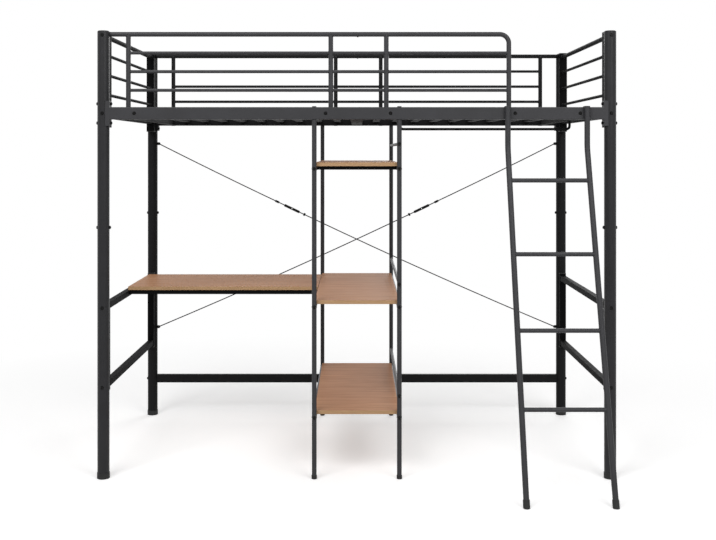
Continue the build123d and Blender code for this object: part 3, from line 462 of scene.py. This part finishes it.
# The ladder's stiles below their bend, and its rungs, in metres
LADDER_BEND_Z = 1.322
LADDER_FOOT_Z = 0.004
LADDER_STILES = ((0.600, 0.622), (0.915, 0.950))
LADDER_TOP_OUT = 0.0349
LADDER_FOOT_OUT = 0.354
RUNG_FIRST = 0.340
RUNG_PITCH = 0.284
RUNG_COUNT = 4


def ladder_beads():
    """The places of the beads at both ends of each rung."""
    places = []
    lines = []
    for top_x, foot_x in LADDER_STILES:
        foot = Vector((foot_x, FRONT_Y - LADDER_FOOT_OUT, LADDER_FOOT_Z))
        lines.append((foot, Vector((top_x, FRONT_Y - LADDER_TOP_OUT, LADDER_BEND_Z))))
    for rung in range(RUNG_COUNT):
        share = (RUNG_FIRST + rung * RUNG_PITCH - LADDER_FOOT_Z) / (LADDER_BEND_Z - LADDER_FOOT_Z)
        left, right = [foot.lerp(bend, share) for foot, bend in lines]
        for (foot, bend), centre, way in zip(lines, (left, right), (right - left, left - right)):
            places.append((centre, way, bend - foot, RUNG_R, STILE_R))
    return places


# Stage and light, in metres and watts
FLOOR_HALF = 14.0
FLOOR_DROP = 0.001      # below the feet, so that no two faces share a plane
FLOOR_ALBEDO = 0.80
FLOOR_NEAR_LIFT = 0.36
FLOOR_FADE = (1.3, 3.0)
WORLD_LIGHT = 0.36
LAMP_AIM = (0, 0, 0.8)
LAMPS = {
    "key_lamp": {"at": (-1.9, -3.5, 4.1), "size": 2.4, "watts": 135.0},
    "fill_lamp": {"at": (2.2, -3.7, 3.4), "size": 2.4, "watts": 100.0},
    "back_lamp": {"at": (1.6, 5.0, 3.2), "size": 3.0, "watts": 90.0},
}


def add_floor():
    """A white floor that keeps the object's shadow and fades to plain white away from it."""
    mesh = bpy.data.meshes.new("floor")
    corners = [(x * FLOOR_HALF, y * FLOOR_HALF, 0) for x, y in ((-1, -1), (1, -1), (1, 1), (-1, 1))]
    mesh.from_pydata(corners, [], [(0, 1, 2, 3)])
    floor = bpy.data.objects.new("floor", mesh)
    floor.location = (0, 0, -FLOOR_DROP)
    bpy.context.collection.objects.link(floor)
    nodes = Nodes("floor_white")
    path = nodes.add("ShaderNodeLightPath")
    seen = nodes.math("MAXIMUM", path.outputs["Is Camera Ray"], path.outputs["Is Glossy Ray"])
    seen = nodes.math("MAXIMUM", seen, path.outputs["Is Transmission Ray"])
    away = nodes.add("ShaderNodeVectorMath", {"operation": "LENGTH"})
    nodes.feed(away, "0", nodes.place())
    far = nodes.math("MULTIPLY", seen, nodes.remap(away.outputs["Value"], *FLOOR_FADE))
    lift = nodes.math("MULTIPLY", seen, FLOOR_NEAR_LIFT)
    glow = nodes.add("ShaderNodeEmission", Color=(1, 1, 1, 1), Strength=lift)
    matte = nodes.add("ShaderNodeBsdfDiffuse", Color=(FLOOR_ALBEDO, FLOOR_ALBEDO, FLOOR_ALBEDO, 1))
    near = nodes.add("ShaderNodeAddShader")
    nodes.feed(near, "0", glow.outputs[0])
    nodes.feed(near, "1", matte.outputs[0])
    white = nodes.add("ShaderNodeEmission", Color=(1, 1, 1, 1), Strength=1.0)
    both = nodes.add("ShaderNodeMixShader", Fac=far)
    nodes.feed(both, "1", near.outputs[0])
    nodes.feed(both, "2", white.outputs[0])
    output = nodes.add("ShaderNodeOutputMaterial")
    nodes.feed(output, "Surface", both.outputs[0])
    mesh.materials.append(nodes.material)


def add_world():
    """A soft even sky that shows as white behind the object and in its gloss."""
    world = bpy.data.worlds.new("studio")
    world.use_nodes = True
    tree = world.node_tree
    tree.nodes.clear()
    path = tree.nodes.new("ShaderNodeLightPath")
    seen = path.outputs["Is Camera Ray"]
    for name in ("Is Glossy Ray", "Is Transmission Ray"):
        either = tree.nodes.new("ShaderNodeMath")
        either.operation = "MAXIMUM"
        tree.links.new(seen, either.inputs[0])
        tree.links.new(path.outputs[name], either.inputs[1])
        seen = either.outputs[0]
    level = tree.nodes.new("ShaderNodeMapRange")
    level.inputs["To Min"].default_value = WORLD_LIGHT
    level.inputs["To Max"].default_value = 1.0
    tree.links.new(seen, level.inputs["Value"])
    sky = tree.nodes.new("ShaderNodeBackground")
    sky.inputs["Color"].default_value = (1, 1, 1, 1)
    tree.links.new(level.outputs["Result"], sky.inputs["Strength"])
    output = tree.nodes.new("ShaderNodeOutputWorld")
    tree.links.new(sky.outputs[0], output.inputs["Surface"])
    bpy.context.scene.world = world


def add_lamp(name, at, size, watts):
    """A square soft lamp that points at the middle of the bed."""
    data = bpy.data.lights.new(name, "AREA")
    data.shape = "SQUARE"
    data.size = size
    data.energy = watts
    lamp = bpy.data.objects.new(name, data)
    lamp.location = at
    aim = Vector(LAMP_AIM) - Vector(at)
    lamp.rotation_euler = aim.to_track_quat("-Z", "Y").to_euler()
    lamp.visible_camera = False
    bpy.context.collection.objects.link(lamp)


add_camera()
dress_cad_nodes()
add_beads("weld_beads_frame", "bed_frame", frame_beads())
add_beads("weld_beads_ladder", "ladder", ladder_beads())
add_floor()
add_world()
for lamp_name, lamp in LAMPS.items():
    add_lamp(lamp_name, **lamp)
bpy.context.scene.view_settings.view_transform = "Standard"
